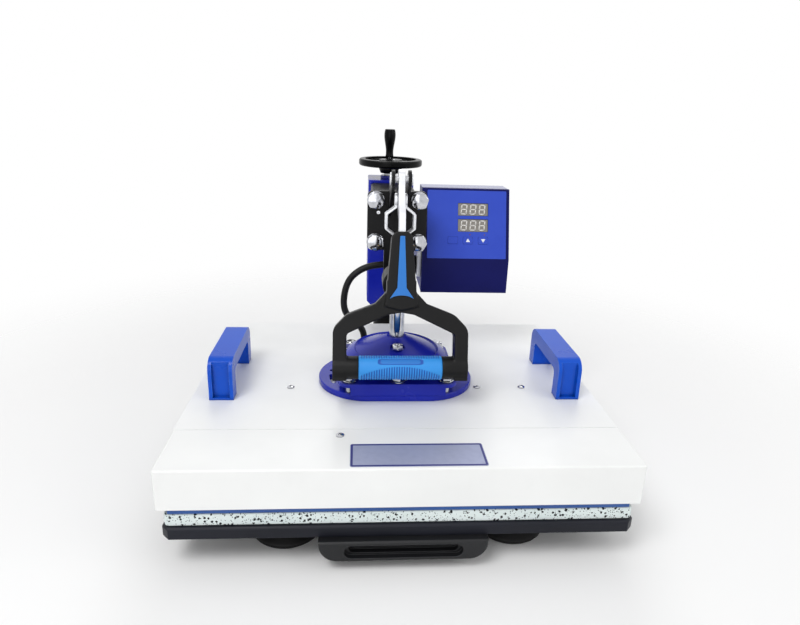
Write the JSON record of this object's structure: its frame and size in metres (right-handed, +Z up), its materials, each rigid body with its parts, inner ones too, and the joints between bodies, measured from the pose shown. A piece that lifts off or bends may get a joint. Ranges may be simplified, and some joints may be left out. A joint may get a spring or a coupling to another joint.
{
  "type": "combo heat press",
  "caption": "Swing-away toggle heat press with a covered heated platen, sliding padded tray, blue column and control box.",
  "frame": {"origin": "on the table, under the middle of the press's bounding box", "axes": "+X is the operator's right, +Y runs away from the operator towards the column, +Z is up"},
  "size_m": [0.396, 0.424, 0.3358],
  "materials": {
    "white_cover": "smooth white powder coat",
    "blue_coat": "glossy deep blue powder coat",
    "black_coat": "satin black coat",
    "slate_coat": "matt dark slate coat",
    "strip_blue": "satin blue coat",
    "panel_blue": "smooth blue and navy panel finish",
    "shell_grey": "satin lavender grey coat",
    "black_plastic": "fine-textured black plastic",
    "sky_plastic": "sky blue moulded plastic",
    "sky_rubber": "ribbed sky blue rubber",
    "royal_plastic": "royal blue moulded plastic",
    "zinc_steel": "bright zinc plate",
    "bright_chrome": "polished chrome",
    "cast_plate": "machined cast aluminium",
    "bush_brass": "turned bronze",
    "black_rubber": "black rubber",
    "white_sponge": "open off-white silicone sponge",
    "wool_blanket": "mineral wool blanket",
    "dark_glass": "unlit display window",
    "green_board": "green circuit board",
    "gloss_black": "gloss black plastic"
  },
  "bodies": {
    "base": {"base_frame": "black_coat", "rubber_feet": "black_rubber", "foot_screws": "zinc_steel", "post": "black_coat", "post_bolts": "zinc_steel", "fixed_rails": "zinc_steel"},
    "tray": {"lower_tray": "slate_coat", "silicone_pad": "white_sponge", "drawer_pull": "slate_coat", "tray_runners": "zinc_steel"},
    "column": {"column_tube": "blue_coat", "column_cap": "blue_coat", "post_bushes": "bush_brass", "thrust_plate": "bush_brass"},
    "wheel": {"handwheel": "black_plastic", "pressure_screw": "bright_chrome", "crank_pin": "bright_chrome"},
    "crank": {"crank_grip": "black_plastic"},
    "head": {"arm_beam": "black_coat", "slide_block": "zinc_steel", "toggle_bracket": "black_coat", "bracket_bolts": "bright_chrome", "lever_pin": "zinc_steel", "rod_guide": "black_coat", "guide_bush": "bush_brass", "box_bracket": "zinc_steel", "box_shell": "shell_grey", "box_front": "panel_blue", "displays": "dark_glass", "circuit_board": "green_board", "upper_gland": "black_plastic", "heater_cable": "black_rubber", "power_inlet": "gloss_black", "rocker_frame": "gloss_black"},
    "set_button": {"key_set": "panel_blue"},
    "up_button": {"key_up": "panel_blue"},
    "down_button": {"key_down": "panel_blue"},
    "rocker": {"power_rocker": "gloss_black"},
    "lever": {"lever_plate": "zinc_steel", "handle_yoke": "black_plastic", "handle_inlay": "sky_plastic", "handle_grip": "sky_rubber"},
    "links": {"link_left": "zinc_steel", "link_right": "zinc_steel", "link_pins": "zinc_steel"},
    "platen": {"plunger_rod": "bright_chrome", "pressure_dome": "blue_coat", "saddle_plate": "blue_coat", "saddle_fasteners": "bright_chrome", "flange_plate": "blue_coat", "cover_top": "white_cover", "cover_front": "white_cover", "cover_screws": "bright_chrome", "heat_platen": "cast_plate", "platen_rim": "strip_blue", "heating_element": "zinc_steel", "insulation": "wool_blanket", "side_handle_left": "royal_plastic", "side_handle_right": "royal_plastic", "lower_gland": "black_plastic"}
  },
  "joints": [
    {"name": "tray_slide", "type": "slide", "parent": "base", "child": "tray", "axis": [0, -1, 0], "range_m": [0, 0.2]},
    {"name": "arm_swing", "type": "hinge", "parent": "base", "child": "column", "pos_m": [0, 0.162, 0.2], "axis": [0, 0, 1], "range_deg": [-90, 90]},
    {"name": "handwheel_turn", "type": "hinge", "parent": "column", "child": "wheel", "pos_m": [0, 0.162, 0.29], "axis": [0, 0, -1], "range_deg": [0, 1080]},
    {"name": "crank_grip_spin", "type": "hinge", "parent": "wheel", "child": "crank", "pos_m": [0, 0.193, 0.31], "axis": [0, 0, 1], "continuous": true},
    {"name": "pressure_lift", "type": "slide", "parent": "column", "child": "head", "axis": [0, 0, 1], "range_m": [0, 0.012]},
    {"name": "lever_pull", "type": "hinge", "parent": "head", "child": "lever", "pos_m": [0, -0.044, 0.301], "axis": [-1, 0, 0], "range_deg": [0, 100]},
    {"name": "platen_lift", "type": "slide", "parent": "head", "child": "platen", "axis": [0, 0, 1], "range_m": [0, 0.02866], "deforming": ["heater_cable"]},
    {"name": "link_turn", "type": "hinge", "parent": "platen", "child": "links", "pos_m": [0, -0.044, 0.241], "axis": [1, 0, 0], "range_deg": [0, 29.5]},
    {"name": "set_key_press", "type": "slide", "parent": "head", "child": "set_button", "axis": [0, 0.9512, -0.3085], "range_m": [0, 0.0005], "stiffness_N_per_m": 800, "springref_m": -0.0006},
    {"name": "up_key_press", "type": "slide", "parent": "head", "child": "up_button", "axis": [0, 0.9512, -0.3085], "range_m": [0, 0.0005], "stiffness_N_per_m": 800, "springref_m": -0.0006},
    {"name": "down_key_press", "type": "slide", "parent": "head", "child": "down_button", "axis": [0, 0.9512, -0.3085], "range_m": [0, 0.0005], "stiffness_N_per_m": 800, "springref_m": -0.0006},
    {"name": "power_rocker_tip", "type": "hinge", "parent": "head", "child": "rocker", "pos_m": [0.104, 0.069, 0.245], "axis": [1, 0, 0], "range_deg": [0, 16]}
  ],
  "couplings": [
    {"joint": "platen_lift", "follows": "lever_pull", "m_per_rad": 0.01642},
    {"joint": "link_turn", "follows": "lever_pull", "ratio": 0.29498},
    {"joint": "handwheel_turn", "follows": "pressure_lift", "rad_per_m": 1570.8}
  ]
}
